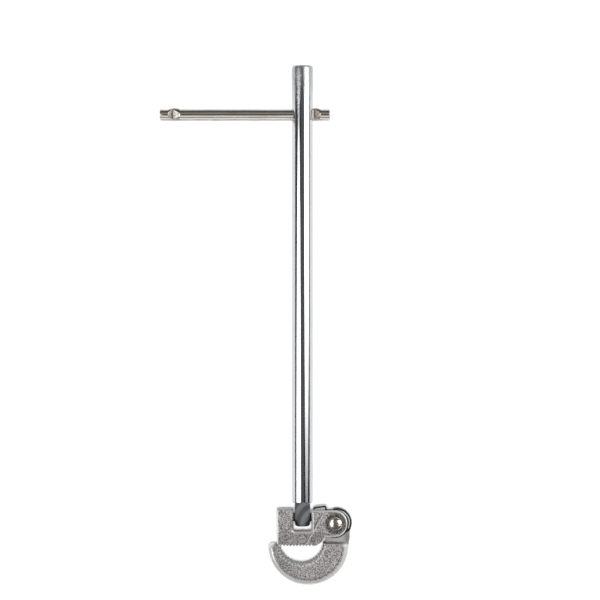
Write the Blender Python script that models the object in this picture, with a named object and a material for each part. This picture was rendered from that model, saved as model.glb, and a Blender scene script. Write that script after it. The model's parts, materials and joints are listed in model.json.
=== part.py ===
"""A 300 mm basin wrench as separate pieces, in metres.

The tool lies on its back. The shaft runs along +Y, the sliding T-bar along X, and +Z leaves the front
faces of the jaws. The origin is on the rear face of the fixed jaw, in line with the shaft.

Places in the head are measured from the head pin (x and y) and from the middle of the head's depth (z).
Places on the hook jaw are measured from the rivet that it turns on.
"""

import math

import bmesh
import bpy
from mathutils import Matrix, Vector

# Driving dimensions, in metres and degrees.
GAP = 0.0003  # between pieces that touch or turn on each other
ROUND_SIDES = 40

HEAD_DEPTH = 0.0170
PIN_FROM_ORIGIN = 0.0116
MID_Z = HEAD_DEPTH / 2

SHAFT_RADIUS = 0.0060
SHAFT_TOP = 0.2611
SHAFT_TOP_ROUND = 0.0014
SHOULDER = 0.0086
SHOULDER_CHAMFER = 0.0004
TANG_HALF_WIDTH = 0.0044
TANG_HALF_DEPTH = 0.0044
TANG_END = -0.0051
TANG_END_RADIUS = 0.0036
TANG_RADIUS = 0.00595
BAR_HOLE_Y = 0.2328
BAR_HOLE_RADIUS = 0.0033
BAR_HOLE_FLARE = 0.0005

BAR_RADIUS = 0.0030
BAR_LEFT = -0.0824
BAR_RIGHT = 0.0158
BAR_END_CHAMFER = 0.0004
# Each stop: its groove's place, the lean of its pressed flats in degrees from +Y, and its left flank's length.
STOPS = ((-0.0750, -78.0, 0.0027), (0.0063, -90.0, 0.0009))
STOP_RIGHT_FLANK = 0.0044
STOP_DENT = 0.0013
STOP_UPPER_EAR = 0.0005
STOP_LOWER_EAR = 0.00015
STOP_STEPS = (0.25, 0.5, 0.75, 1.0)

PIN_RADIUS = 0.0024
PIN_BORE_RADIUS = 0.0015
PIN_SLIT = 0.0009
PIN_LEFT = -0.0144
PIN_RIGHT = 0.0092

BLOCK_LEFT = -0.0147
BLOCK_TOP = 0.0052
EDGE_ROUND = 0.0009
SLOT_HALF_WIDTH = 0.0052
SLOT_BOTTOM = -0.0075
SLOT_CORNER = 0.0012
SLOT_CHAMFER = 0.0010
SWING_RADIUS = 0.00845  # the slot's lips stay inside this round the pin, to pass the shoulder
SWING_HALF_WIDTH = 0.0063

TOOTH_PITCH = 0.00185
TOOTH_DEPTH = 0.00075
TOOTH_TIPS = -0.0161
TOOTH_FIRST = -0.0133
TOOTH_COUNT = 10
CORNER_CUT = 0.0010
CORNER_RISE = 0.0011
CORNER_FOOT = 0.00055  # its lower end stands this far above the tips of the teeth

HEEL_CENTRE = (0.0055, -0.0082)
HEEL_RADIUS = 0.0079
HEEL_START = -88.0
HEEL_END = -17.0
HEEL_EDGE = 0.6  # share of the edge rounding along the heel
EAR_REACH = 0.0068
EAR_HALF_HEIGHT = 0.0075

RIVET = (0.0191, -0.0030)
RIVET_RADIUS = 0.0025
RIVET_HEAD_RADIUS = 0.00385
RIVET_HEAD_HEIGHT = 0.0018
RIVET_TAIL_RADIUS = 0.0036
RIVET_TAIL_DEPTH = 0.0014
FORK_LOW = -0.0043
FORK_HIGH = 0.0043
FORK_RADIUS = 0.0087
FORK_INNER_X = 0.0128

HOOK_HALF_DEPTH = 0.00825
HOOK_CENTRE = (0.0034, -0.0160)
HOOK_RADIUS = 0.0231
HOOK_DROP = 0.0225  # its radius straight down, a little less than across
HOOK_ROUND = 0.0033
HOOK_OUTER_START = 189.0
HOOK_OUTER_END = 354.0
HOOK_TIP_ANGLE = 185.0
HOOK_TIP_START = 10.0
HOOK_TIP_RADIUS = 0.0029
HOOK_TIP_EDGES = (0.15, 0.85)  # share of the edge rounding at the tip's inner and outer end
HOOK_CORNER_RADIUS = 0.0031
HOOK_CORNER_EDGES = (1.0, 0.2)
HOOK_SHOULDER = -0.0143
THROAT_CENTRE = (-0.0006, -0.0133)
THROAT_ROOTS = 0.01325
THROAT_FIRST = 198.0
THROAT_LAST = 357.0
THROAT_TEETH = 19

TONGUE_LOW = -0.0039
TONGUE_HIGH = 0.0005
TONGUE_CENTRE = (0.0200, -0.0032)
TONGUE_RADIUS = 0.0073
TONGUE_LEFT = 0.0132
TONGUE_RIGHT = 0.0274
TONGUE_FOOT = 350.0  # where the tongue's root meets the hook's outer side

WIRE_RADIUS = 0.00048
COIL_RADIUS = 0.0050
COIL_FRONT = 0.0036
COIL_BACK = 0.0011
COIL_TURNS = 2.0 + 1.0 / 3.0
LEG_RADIUS = 0.0080  # the leg over the tongue goes round the tongue's own centre
LEG_DEPTH = -0.0007
LEG_START = -60.0
LEG_END = 100.0
LEG_OUT = 0.35  # share of the leg in which it leaves the coil
LEG_DOWN = 0.30  # share after that in which it comes down to the tongue
LEG_TIP = 0.0028
LEG_TIP_LEAN = 0.0003
WIRE_SIDES = 8
WIRE_STEPS = 20  # points to a turn of the coil, and along the leg

PIN_PLACE = Vector((0.0, PIN_FROM_ORIGIN, MID_Z))
RIVET_PLACE = PIN_PLACE + Vector((RIVET[0], RIVET[1], 0.0))


def clear_scene():
    for old in list(bpy.data.objects):
        bpy.data.objects.remove(old)


def material(name, colour, roughness, metallic=1.0):
    made = bpy.data.materials.new(name)
    made.use_nodes = True
    shader = made.node_tree.nodes["Principled BSDF"]
    shader.inputs["Base Color"].default_value = (*colour, 1.0)
    shader.inputs["Roughness"].default_value = roughness
    shader.inputs["Metallic"].default_value = metallic
    return made


def around(centre, radius, degrees):
    """The point of a circle at that angle. radius may be (x, y)."""
    across, up = radius if isinstance(radius, tuple) else (radius, radius)
    turn = math.radians(degrees)
    return (centre[0] + across * math.cos(turn), centre[1] + up * math.sin(turn))


def ramp(start, end, count):
    """count numbers in even steps from start to end."""
    return [start + (end - start) * i / (count - 1) for i in range(count)]


def arc(centre, radius, start, end, steps):
    """Points of a circle from start to end, in degrees, both ends included."""
    return [around(centre, radius, degrees) for degrees in ramp(start, end, steps + 1)]


def add_object(name, bm, finish, place):
    """A named object from a bmesh whose faces are turned outwards and shaded smooth but for sharp edges."""
    bmesh.ops.recalc_face_normals(bm, faces=bm.faces)
    mesh = bpy.data.meshes.new(name)
    bm.to_mesh(mesh)
    bm.free()
    mesh.shade_smooth()
    mesh.set_sharp_from_angle(angle=math.radians(35.0))
    made = bpy.data.objects.new(name, mesh)
    if finish:
        mesh.materials.append(finish)
    made.location = place
    bpy.context.scene.collection.objects.link(made)
    return made


def loft(rings):
    """A closed bmesh through rings of equally many points, capped at both ends."""
    bm = bmesh.new()
    loops = [[bm.verts.new(p) for p in ring] for ring in rings]
    count = len(loops[0])
    for low, high in zip(loops, loops[1:]):
        for i in range(count):
            j = (i + 1) % count
            bm.faces.new((low[i], low[j], high[j], high[i]))
    bm.faces.new(loops[0])
    bm.faces.new(loops[-1])
    return bm


def raised(outline, height):
    return [(x, y, height) for x, y in outline]


def inset(outline, weights, distance):
    """The outline moved inwards by distance times each point's weight. It runs counter-clockwise."""
    moved = []
    count = len(outline)
    for i, (x, y) in enumerate(outline):
        before = Vector(outline[i]) - Vector(outline[i - 1])
        after = Vector(outline[(i + 1) % count]) - Vector(outline[i])
        inward = before.normalized() + after.normalized()
        inward = Vector((-inward.y, inward.x)).normalized()
        lean = max(0.5, inward.dot(Vector((-before.y, before.x)).normalized()))
        step = inward * (distance * weights[i] / lean)
        moved.append((x + step.x, y + step.y))
    return moved


def rounded_plate(outline, weights, half_depth, radius, steps):
    """A plate with both its edges rounded, where weights says how much of radius each point takes."""
    rings = []
    for step in range(steps + 1):
        turn = math.radians(90.0 * step / steps)
        drop = radius * (1.0 - math.sin(turn))
        ring = inset(outline, weights, drop)
        rings.append(raised(ring, -half_depth + radius * (1.0 - math.cos(turn))))
    mirrored = [[(x, y, -z) for x, y, z in ring] for ring in reversed(rings)]
    return loft(rings + mirrored)


def turned(profile, sides=ROUND_SIDES):
    """A solid of revolution about Z from (radius, height) pairs, closed at both ends by flat faces."""
    rings = []
    for radius, height in profile:
        ring = arc((0.0, 0.0), radius, 0.0, 360.0, sides)[:-1]
        rings.append(raised(ring, height))
    return loft(rings)


def cutter(name, bm, place):
    made = add_object(name, bm, None, place)
    made.hide_render = True
    made.display_type = "WIRE"
    return made


def combine(target, other, operation):
    step = target.modifiers.new(other.name, "BOOLEAN")
    step.operation = operation
    step.object = other
    step.solver = "EXACT"


def box(low, high):
    bm = bmesh.new()
    bmesh.ops.create_cube(bm, size=1.0)
    for vert in bm.verts:
        for axis in range(3):
            vert.co[axis] = high[axis] if vert.co[axis] > 0 else low[axis]
    return bm


ALONG_X = Matrix.Rotation(math.radians(90.0), 4, "Y")
ALONG_Y = Matrix.Rotation(math.radians(-90.0), 4, "X")


def lay(bm, rotation):
    bm.transform(rotation)
    return bm


def make_shaft(finish):
    profile = [(SHAFT_RADIUS - SHOULDER_CHAMFER, SHOULDER), (SHAFT_RADIUS, SHOULDER + SHOULDER_CHAMFER)]
    round_centre = (SHAFT_RADIUS - SHAFT_TOP_ROUND, SHAFT_TOP - SHAFT_TOP_ROUND)
    profile += arc(round_centre, SHAFT_TOP_ROUND, 0.0, 90.0, steps=3)
    shaft = add_object("shaft", lay(turned(profile), ALONG_Y), finish, PIN_PLACE)
    turned_end = [
        (TANG_END_RADIUS, TANG_END),
        (TANG_RADIUS, TANG_END + TANG_RADIUS - TANG_END_RADIUS),
        (TANG_RADIUS, SHOULDER + TANG_RADIUS),
    ]
    tang = cutter("tang", lay(turned(turned_end), ALONG_Y), PIN_PLACE)
    low = (-TANG_HALF_WIDTH, 2.0 * TANG_END, -TANG_HALF_DEPTH)
    high = (TANG_HALF_WIDTH, 2.0 * SHOULDER + TANG_RADIUS, TANG_HALF_DEPTH)
    combine(tang, cutter("tang_flats", box(low, high), PIN_PLACE), "INTERSECT")
    combine(shaft, tang, "UNION")
    beyond = 2.0 * SHAFT_RADIUS
    mouth = SHAFT_RADIUS - BAR_HOLE_FLARE
    flared = BAR_HOLE_RADIUS + beyond - mouth
    hole = turned(
        [(flared, -beyond), (BAR_HOLE_RADIUS, -mouth), (BAR_HOLE_RADIUS, mouth), (flared, beyond)]
    )
    bar_place = PIN_PLACE + Vector((0.0, BAR_HOLE_Y, 0.0))
    combine(shaft, cutter("bar_hole", lay(hole, ALONG_X), bar_place), "DIFFERENCE")
    pin_hole = turned([(PIN_RADIUS + GAP, -beyond), (PIN_RADIUS + GAP, beyond)])
    combine(shaft, cutter("tang_hole", lay(pin_hole, ALONG_X), PIN_PLACE), "DIFFERENCE")
    return shaft


def bar_section(x, sides):
    """The bar's section at x. A wedge pressed in from two sides leaves flats there and pushes out two ears."""
    points = []
    for i in range(sides):
        point = Vector(around((0.0, 0.0), BAR_RADIUS, 360.0 * i / sides))
        for place, lean, left_flank in STOPS:
            near = 1.0 - abs(x - place) / (STOP_RIGHT_FLANK if x > place else left_flank)
            if near > 0.0:
                pressed = Vector(around((0.0, 0.0), 1.0, lean))
                across = Vector((-pressed.y, pressed.x))
                flat = BAR_RADIUS - STOP_DENT * near
                kept = max(-flat, min(flat, point.dot(pressed)))
                side = point.dot(across)
                ear = STOP_UPPER_EAR if side > 0.0 else STOP_LOWER_EAR
                swell = ear / BAR_RADIUS * math.sin(near * math.pi / 2) * (side / BAR_RADIUS) ** 2
                point = pressed * kept + across * (side * (1.0 + swell))
        points.append((x, point.x, point.y))
    return points


def make_t_bar(finish):
    stations = [BAR_LEFT + BAR_END_CHAMFER, BAR_RIGHT - BAR_END_CHAMFER]
    for place, _, left_flank in STOPS:
        stations += [place - left_flank * part for part in STOP_STEPS]
        stations += [place] + [place + STOP_RIGHT_FLANK * part for part in STOP_STEPS]
    rings = [bar_section(x, ROUND_SIDES // 2) for x in sorted(stations)]
    shrink = 1.0 - BAR_END_CHAMFER / BAR_RADIUS
    left, right = (
        [(x, y * shrink, z * shrink) for x, y, z in bar_section(end, ROUND_SIDES // 2)]
        for end in (BAR_LEFT, BAR_RIGHT)
    )
    rings = [left] + rings + [right]
    return add_object("t_bar", loft(rings), finish, PIN_PLACE + Vector((0.0, BAR_HOLE_Y, 0.0)))


def make_head_pin(finish):
    """A slotted spring pin: a C-shaped section along X, with the slit facing the rear."""
    slit = math.degrees(math.asin(PIN_SLIT / 2 / PIN_BORE_RADIUS))
    outer = arc((0, 0), PIN_RADIUS, slit, 360.0 - slit, steps=24)
    inner = arc((0, 0), PIN_BORE_RADIUS, 360.0 - slit, slit, steps=24)
    outline = outer + inner
    rings = [[(x, y, z) for z, y in outline] for x in (PIN_LEFT, PIN_RIGHT)]
    return add_object("head_pin", loft(rings), finish, PIN_PLACE)


def fixed_jaw_outline():
    """The casting's outline from the front with how much of the edge rounding each point takes."""
    block = [(0.0, BLOCK_TOP), (BLOCK_LEFT, BLOCK_TOP), (BLOCK_LEFT, TOOTH_TIPS + CORNER_FOOT + CORNER_RISE)]
    roots = TOOTH_TIPS + TOOTH_DEPTH
    teeth = [(BLOCK_LEFT + CORNER_CUT, TOOTH_TIPS + CORNER_FOOT)]
    for i in range(TOOTH_COUNT):
        left = TOOTH_FIRST + i * TOOTH_PITCH
        teeth += [(left, roots), (left + TOOTH_PITCH / 2, TOOTH_TIPS)]
    teeth.append((TOOTH_FIRST + TOOTH_COUNT * TOOTH_PITCH, roots))
    heel = arc(HEEL_CENTRE, HEEL_RADIUS, HEEL_START, HEEL_END, steps=8)
    ear = [(HEEL_CENTRE[0] + HEEL_RADIUS, RIVET[1] - EAR_HALF_HEIGHT)]
    ear += arc(RIVET, (EAR_REACH, EAR_HALF_HEIGHT), -90.0, 90.0, steps=16)
    ear += [(0.0, RIVET[1] + EAR_HALF_HEIGHT)]
    outline = block + teeth + heel + ear
    weights = [1.0] * len(block) + [0.0] * len(teeth) + [HEEL_EDGE] * len(heel) + [1.0] * len(ear)
    return outline, weights


def slot_section(spread):
    """The U slot's outline, spread apart for the chamfer, open at the top."""
    half, bottom = SLOT_HALF_WIDTH + spread, SLOT_BOTTOM - spread
    corner = SLOT_CORNER + spread / 2
    top = 2.0 * BLOCK_TOP
    left = arc((-half + corner, bottom + corner), corner, 180.0, 270.0, steps=4)
    right = arc((half - corner, bottom + corner), corner, 270.0, 360.0, steps=4)
    return [(-half, top)] + left + right + [(half, top)]


def make_fixed_jaw(finish):
    outline, weights = fixed_jaw_outline()
    jaw = add_object("fixed_jaw", rounded_plate(outline, weights, MID_Z, EDGE_ROUND, 3), finish, PIN_PLACE)

    past = MID_Z + SLOT_CHAMFER
    inner = MID_Z - SLOT_CHAMFER
    layers = ((-past, 2 * SLOT_CHAMFER), (-inner, 0.0), (inner, 0.0), (past, 2 * SLOT_CHAMFER))
    slot = loft([raised(slot_section(spread), height) for height, spread in layers])
    combine(jaw, cutter("tang_slot", slot, PIN_PLACE), "DIFFERENCE")

    far = 2.0 * SWING_RADIUS
    for side in (-1.0, 1.0):
        sweep = arc((0, 0), SWING_RADIUS, 0.0, 60.0, steps=10)
        corner = [(z * side, y) for z, y in sweep] + [(side * sweep[-1][0], far), (side * far, far)]
        corner.append((side * far, 0.0))
        rings = [[(x, y, z) for z, y in corner] for x in (-SWING_HALF_WIDTH, SWING_HALF_WIDTH)]
        combine(jaw, cutter(f"swing_relief_{side:+.0f}", loft(rings), PIN_PLACE), "DIFFERENCE")

    lean = math.degrees(math.acos((FORK_INNER_X - RIVET[0]) / FORK_RADIUS))
    fork = [(2.0 * RIVET[0], far), (FORK_INNER_X, far)]
    fork += arc(RIVET, FORK_RADIUS, lean, 360.0 - lean, steps=12)
    fork += [(FORK_INNER_X, -far), (2.0 * RIVET[0], -far)]
    gap = loft([raised(fork, FORK_LOW), raised(fork, FORK_HIGH)])
    combine(jaw, cutter("fork_gap", gap, PIN_PLACE), "DIFFERENCE")

    pin_hole = turned([(PIN_RADIUS + GAP, 2.0 * BLOCK_LEFT), (PIN_RADIUS + GAP, PIN_RIGHT + GAP)])
    combine(jaw, cutter("pin_hole", lay(pin_hole, ALONG_X), PIN_PLACE), "DIFFERENCE")

    wide = RIVET_TAIL_RADIUS + 1.5 * GAP
    sunk = [
        (wide + GAP, -MID_Z - GAP),
        (RIVET_RADIUS + GAP, -MID_Z + RIVET_TAIL_DEPTH + GAP),
        (RIVET_RADIUS + GAP, 2.0 * MID_Z),
    ]
    combine(jaw, cutter("rivet_hole", turned(sunk), RIVET_PLACE), "DIFFERENCE")
    return jaw


def make_jaw_rivet(finish):
    """A domed head in front, and a tail peened flush into the countersink at the rear."""
    base = MID_Z + GAP
    dome = arc((0.0, 0.0), (RIVET_HEAD_RADIUS, RIVET_HEAD_HEIGHT), 0.0, 80.0, steps=7)
    profile = [
        (RIVET_TAIL_RADIUS, -MID_Z + GAP / 2),
        (RIVET_RADIUS, -MID_Z + RIVET_TAIL_DEPTH),
        (RIVET_RADIUS, base),
        (RIVET_HEAD_RADIUS - GAP, base),
    ]
    profile += [(radius, base + GAP + height) for radius, height in dome]
    return add_object("jaw_rivet", turned(profile, sides=32), finish, RIVET_PLACE)


def from_rivet(outline):
    return [(x - RIVET[0], y - RIVET[1]) for x, y in outline]


def hook_outline():
    """The crescent from the front with how much of the edge rounding each point takes."""
    tip_centre = around(HOOK_CENTRE, HOOK_RADIUS - HOOK_TIP_RADIUS, HOOK_TIP_ANGLE)
    outer = arc(HOOK_CENTRE, (HOOK_RADIUS, HOOK_DROP), HOOK_OUTER_START, HOOK_OUTER_END, steps=36)
    corner_centre = (outer[-1][0] - HOOK_CORNER_RADIUS, HOOK_SHOULDER - HOOK_CORNER_RADIUS)
    corner = arc(corner_centre, HOOK_CORNER_RADIUS, 0.0, 90.0, steps=5)
    step = (THROAT_LAST - THROAT_FIRST) / THROAT_TEETH
    throat = [(THROAT_CENTRE[0] + THROAT_ROOTS, HOOK_SHOULDER)]
    for i in range(THROAT_TEETH):
        root = THROAT_LAST - i * step
        throat.append(around(THROAT_CENTRE, THROAT_ROOTS, root))
        throat.append(around(THROAT_CENTRE, THROAT_ROOTS - TOOTH_DEPTH, root - step / 2))
    throat.append(around(THROAT_CENTRE, THROAT_ROOTS, THROAT_FIRST))
    tip = arc(tip_centre, HOOK_TIP_RADIUS, HOOK_TIP_START, HOOK_TIP_ANGLE, steps=10)
    outline = outer + corner + throat + tip
    weights = [1.0] * len(outer) + ramp(*HOOK_CORNER_EDGES, len(corner))
    weights += [HOOK_CORNER_EDGES[1]] + [0.0] * (len(throat) - 1)
    weights += ramp(*HOOK_TIP_EDGES, len(tip))
    return outline, weights


def make_hook_jaw(finish):
    outline, weights = hook_outline()
    bm = rounded_plate(from_rivet(outline), weights, HOOK_HALF_DEPTH, HOOK_ROUND, 4)
    hook = add_object("hook_jaw", bm, finish, RIVET_PLACE)
    neck = [
        (TONGUE_LEFT, TONGUE_CENTRE[1] - TONGUE_RADIUS / 2),
        (TONGUE_LEFT, HOOK_SHOULDER - HOOK_ROUND / 2),
        (TONGUE_LEFT + HOOK_ROUND, HOOK_SHOULDER - 2 * HOOK_ROUND),
        (TONGUE_CENTRE[0], HOOK_SHOULDER - 3 * HOOK_ROUND),
    ]
    neck.append(around(HOOK_CENTRE, (HOOK_RADIUS, HOOK_DROP), TONGUE_FOOT))
    neck += [(TONGUE_RIGHT - EDGE_ROUND / 2, HOOK_SHOULDER), (TONGUE_RIGHT, HOOK_SHOULDER + HOOK_ROUND)]
    neck += arc(TONGUE_CENTRE, TONGUE_RADIUS, 0.0, 200.0, steps=24)
    tongue = from_rivet(neck)
    bm = loft([raised(tongue, TONGUE_LOW), raised(tongue, TONGUE_HIGH)])
    combine(hook, cutter("tongue", bm, RIVET_PLACE), "UNION")
    bore = turned([(RIVET_RADIUS + GAP, TONGUE_LOW - GAP), (RIVET_RADIUS + GAP, TONGUE_HIGH + GAP)])
    combine(hook, cutter("tongue_hole", bore, RIVET_PLACE), "DIFFERENCE")
    return hook


def spring_path():
    """The wire from the end on the fixed jaw's top, round the coil, to the tip over the tongue."""
    seat = [(-0.0122, 0.0083), (-0.0118, 0.0088), (-0.0088, 0.0092), (-0.0062, 0.0094), (-0.0056, 0.0088)]
    path = [Vector((x, y, COIL_FRONT)) for x, y in seat]
    path.append(Vector((-COIL_RADIUS, COIL_RADIUS / 2, COIL_FRONT)))
    count = round(COIL_TURNS * WIRE_STEPS)
    sweep = ramp(180.0, 180.0 + 360.0 * COIL_TURNS, count)
    for degrees, depth in zip(sweep, ramp(COIL_FRONT, COIL_BACK, count)):
        path.append(Vector((*around((0.0, 0.0), COIL_RADIUS, degrees), depth)))
    middle = Vector(TONGUE_CENTRE) - Vector(RIVET)
    for part in ramp(0.0, 1.0, WIRE_STEPS)[1:]:
        out = min(1.0, part / LEG_OUT)
        down = min(1.0, max(0.0, (part - LEG_OUT) / LEG_DOWN))
        degrees = LEG_START + (LEG_END - LEG_START) * part
        radius = COIL_RADIUS + (LEG_RADIUS - COIL_RADIUS) * out
        depth = COIL_BACK + (LEG_DEPTH - COIL_BACK) * down
        path.append(Vector((*around(middle * out, radius, degrees), depth)))
    path.append(path[-1] + Vector((-LEG_TIP_LEAN, 0.0, -LEG_TIP / 2)))
    path.append(path[-1] + Vector((0.0, 0.0, -LEG_TIP / 2)))
    return path


def tube(path, radius, sides):
    """A closed tube along a path, with its section carried along it without twisting."""
    rings = []
    side = Vector((0.0, 0.0, 1.0))
    for i, point in enumerate(path):
        ahead = (path[min(i + 1, len(path) - 1)] - path[max(i - 1, 0)]).normalized()
        side = (side - ahead * side.dot(ahead)).normalized()
        across = ahead.cross(side)
        turns = [math.tau * k / sides for k in range(sides)]
        rings.append([point + (side * math.cos(t) + across * math.sin(t)) * radius for t in turns])
    return loft(rings)


def make_jaw_spring(finish):
    return add_object("jaw_spring", tube(spring_path(), WIRE_RADIUS, WIRE_SIDES), finish, RIVET_PLACE)


def main():
    clear_scene()
    make_shaft(material("bright_chrome", (0.80, 0.81, 0.83), 0.12))
    make_t_bar(material("bright_nickel", (0.72, 0.70, 0.67), 0.16))
    make_fixed_jaw(material("plated_casting", (0.50, 0.49, 0.48), 0.42))
    make_head_pin(material("dark_spring_steel", (0.08, 0.08, 0.09), 0.40))
    make_hook_jaw(material("plated_casting_hook", (0.52, 0.51, 0.50), 0.42))
    make_jaw_rivet(material("polished_rivet_steel", (0.78, 0.74, 0.68), 0.10))
    make_jaw_spring(material("black_wire", (0.03, 0.03, 0.03), 0.35))


main()
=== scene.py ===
"""The looks of a 300 mm basin wrench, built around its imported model, in metres.

Places in the head are measured from the head pin (x and y) and from the middle of the head's depth (z).
Places on the hook jaw and the spring are measured from the rivet.
"""

import json
import math

import bmesh
import bpy
import numpy as np
from mathutils import Matrix, Vector, noise


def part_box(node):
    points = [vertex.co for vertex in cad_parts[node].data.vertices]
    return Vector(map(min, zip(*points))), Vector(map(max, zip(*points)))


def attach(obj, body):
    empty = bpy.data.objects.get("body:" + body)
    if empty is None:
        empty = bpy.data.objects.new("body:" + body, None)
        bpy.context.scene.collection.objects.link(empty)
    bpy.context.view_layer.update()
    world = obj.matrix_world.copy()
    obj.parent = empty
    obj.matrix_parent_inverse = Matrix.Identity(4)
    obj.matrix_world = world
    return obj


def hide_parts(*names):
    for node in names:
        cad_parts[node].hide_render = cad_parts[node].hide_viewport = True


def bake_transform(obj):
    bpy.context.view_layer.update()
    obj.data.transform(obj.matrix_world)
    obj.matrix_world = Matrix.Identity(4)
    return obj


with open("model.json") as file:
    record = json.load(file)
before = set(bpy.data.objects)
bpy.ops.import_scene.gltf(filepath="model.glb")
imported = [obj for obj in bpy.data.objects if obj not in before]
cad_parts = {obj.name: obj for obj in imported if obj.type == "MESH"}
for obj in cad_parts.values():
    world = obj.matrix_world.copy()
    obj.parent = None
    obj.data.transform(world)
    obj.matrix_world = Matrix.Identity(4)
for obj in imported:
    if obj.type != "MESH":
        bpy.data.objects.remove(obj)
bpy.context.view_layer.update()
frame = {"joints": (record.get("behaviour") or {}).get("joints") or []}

MM = 0.001
GAP = 0.3 * MM
JOINTS = {joint["name"]: joint for joint in frame["joints"]}
PIN_PLACE = Vector(JOINTS["head_swing"]["pos_m"])
RIVET_PLACE = Vector(JOINTS["hook_swing"]["pos_m"])
RIVET = (RIVET_PLACE.x - PIN_PLACE.x, RIVET_PLACE.y - PIN_PLACE.y)
MID_Z = PIN_PLACE.z

# The rod, its tang and the hole for the T-bar.
SHAFT_LOW, SHAFT_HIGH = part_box("shaft")
SHAFT_RADIUS = (SHAFT_HIGH.x - SHAFT_LOW.x) / 2
SHAFT_TOP = SHAFT_HIGH.y - PIN_PLACE.y
SHAFT_TOP_ROUND = 1.4 * MM
SHOULDER = 8.6 * MM
SHOULDER_CHAMFER = 0.4 * MM
TANG_HALF_WIDTH = 4.4 * MM
TANG_HALF_DEPTH = 4.4 * MM
TANG_END = SHAFT_LOW.y - PIN_PLACE.y
TANG_END_ROUND = 1.5 * MM
TANG_RADIUS = 5.95 * MM
BAR_LOW, BAR_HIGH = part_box("t_bar")
BAR_PLACE = Vector((PIN_PLACE.x, (BAR_LOW.y + BAR_HIGH.y) / 2, MID_Z))
BAR_HOLE_RADIUS = 3.3 * MM
BAR_HOLE_FLARE = 0.5 * MM

# The T-bar and its two pinched stops.
BAR_RADIUS = 3.0 * MM
BAR_END_CHAMFER = 0.4 * MM
STOPS = ((-75.0 * MM, -78.0, 2.7 * MM), (6.3 * MM, -90.0, 0.9 * MM))
STOP_LONG = 4.4 * MM
STOP_ROUND = 0.25
STOP_DENT = 1.3 * MM
STOP_UPPER_EAR = 0.5 * MM
STOP_LOWER_EAR = 0.15 * MM

PIN_RADIUS = 2.4 * MM
PIN_BORE_RADIUS = 1.5 * MM
PIN_SLIT = 0.9 * MM
PIN_LEFT = -14.4 * MM
PIN_RIGHT = 9.2 * MM

# The fixed jaw.
BLOCK_LEFT = -14.7 * MM
BLOCK_TOP = 5.2 * MM
EDGE_ROUND = 0.9 * MM
SLOT_HALF_WIDTH = 5.2 * MM
SLOT_BOTTOM = -7.5 * MM
SLOT_CORNER = 1.2 * MM
SLOT_CHAMFER = 1.0 * MM
SWING_RADIUS = 8.45 * MM
SWING_HALF_WIDTH = 6.3 * MM
TOOTH_PITCH = 1.85 * MM
TOOTH_DEPTH = 0.75 * MM
TOOTH_MORE = 0.3 * MM
TOOTH_TIPS = -16.1 * MM
TOOTH_FIRST = -13.3 * MM
TOOTH_COUNT = 10
CORNER_CUT = 1.0 * MM
CORNER_RISE = 1.1 * MM
CORNER_FOOT = 0.55 * MM
HEEL_CENTRE = (5.5 * MM, -8.2 * MM)
HEEL_RADIUS = 7.9 * MM
HEEL_START = -88.0
HEEL_END = -17.0
HEEL_EDGE = 0.6
EAR_REACH = 6.8 * MM
EAR_HALF_HEIGHT = 7.5 * MM
FORK_HALF_GAP = 4.3 * MM
FORK_RADIUS = 8.7 * MM
FORK_INNER_X = 12.8 * MM

# The low ridge in front of the ear: its way across, its distance from the pin along that, and its width.
RIDGE_LEAN = -28.7
RIDGE_PLACE = 9.4 * MM
RIDGE_WIDTH = 0.35 * MM

RIVET_RADIUS = 2.5 * MM
RIVET_HEAD_RADIUS = 3.85 * MM
RIVET_HEAD_HEIGHT = 1.8 * MM
RIVET_TAIL_RADIUS = 3.6 * MM
RIVET_TAIL_DEPTH = 1.4 * MM

# The hook jaw.
HOOK_HALF_DEPTH = 8.25 * MM
HOOK_CENTRE = (3.4 * MM, -16.0 * MM)
HOOK_RADIUS = 23.1 * MM
HOOK_DROP = 22.5 * MM
HOOK_ROUND = 3.3 * MM
HOOK_OUTER_START = 189.0
HOOK_OUTER_END = 354.0
HOOK_TIP_ANGLE = 185.0
HOOK_TIP_START = 10.0
HOOK_TIP_RADIUS = 2.9 * MM
HOOK_TIP_EDGES = (0.15, 0.85)
HOOK_CORNER_RADIUS = 3.1 * MM
HOOK_CORNER_EDGES = (1.0, 0.2)
HOOK_SHOULDER = -14.3 * MM
THROAT_CENTRE = (-0.6 * MM, -13.3 * MM)
THROAT_ROOTS = 13.25 * MM
THROAT_FIRST = 198.0
THROAT_LAST = 357.0
THROAT_TEETH = 19
TONGUE_LOW = -3.9 * MM
TONGUE_HIGH = 0.5 * MM
TONGUE_CENTRE = (20.0 * MM, -3.2 * MM)
TONGUE_RADIUS = 7.3 * MM
TONGUE_END_RADIUS = 6.6 * MM
TONGUE_LEFT = 13.2 * MM
TONGUE_RIGHT = 27.4 * MM
TONGUE_FOOT = 350.0

# The spring.
WIRE_RADIUS = 0.52 * MM
COIL_RADIUS = 5.0 * MM
COIL_FRONT = 3.6 * MM
COIL_BACK = 1.1 * MM
COIL_TURNS = 2.0 + 1.0 / 3.0

# How far the coil's last turn lies off its middle, and how much wider it is.
COIL_SHIFT = (1.2 * MM, 0.0)
COIL_GROWTH = 1.1 * MM

# The leg that bears on the tongue.
LEG_RADIUS = 8.0 * MM
LEG_DEPTH = -0.7 * MM
LEG_START = -60.0
LEG_END = 100.0
LEG_OUT = 0.18
LEG_DOWN = 0.30
LEG_TIP = 2.8 * MM
LEG_TIP_LEAN = 0.3 * MM

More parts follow.
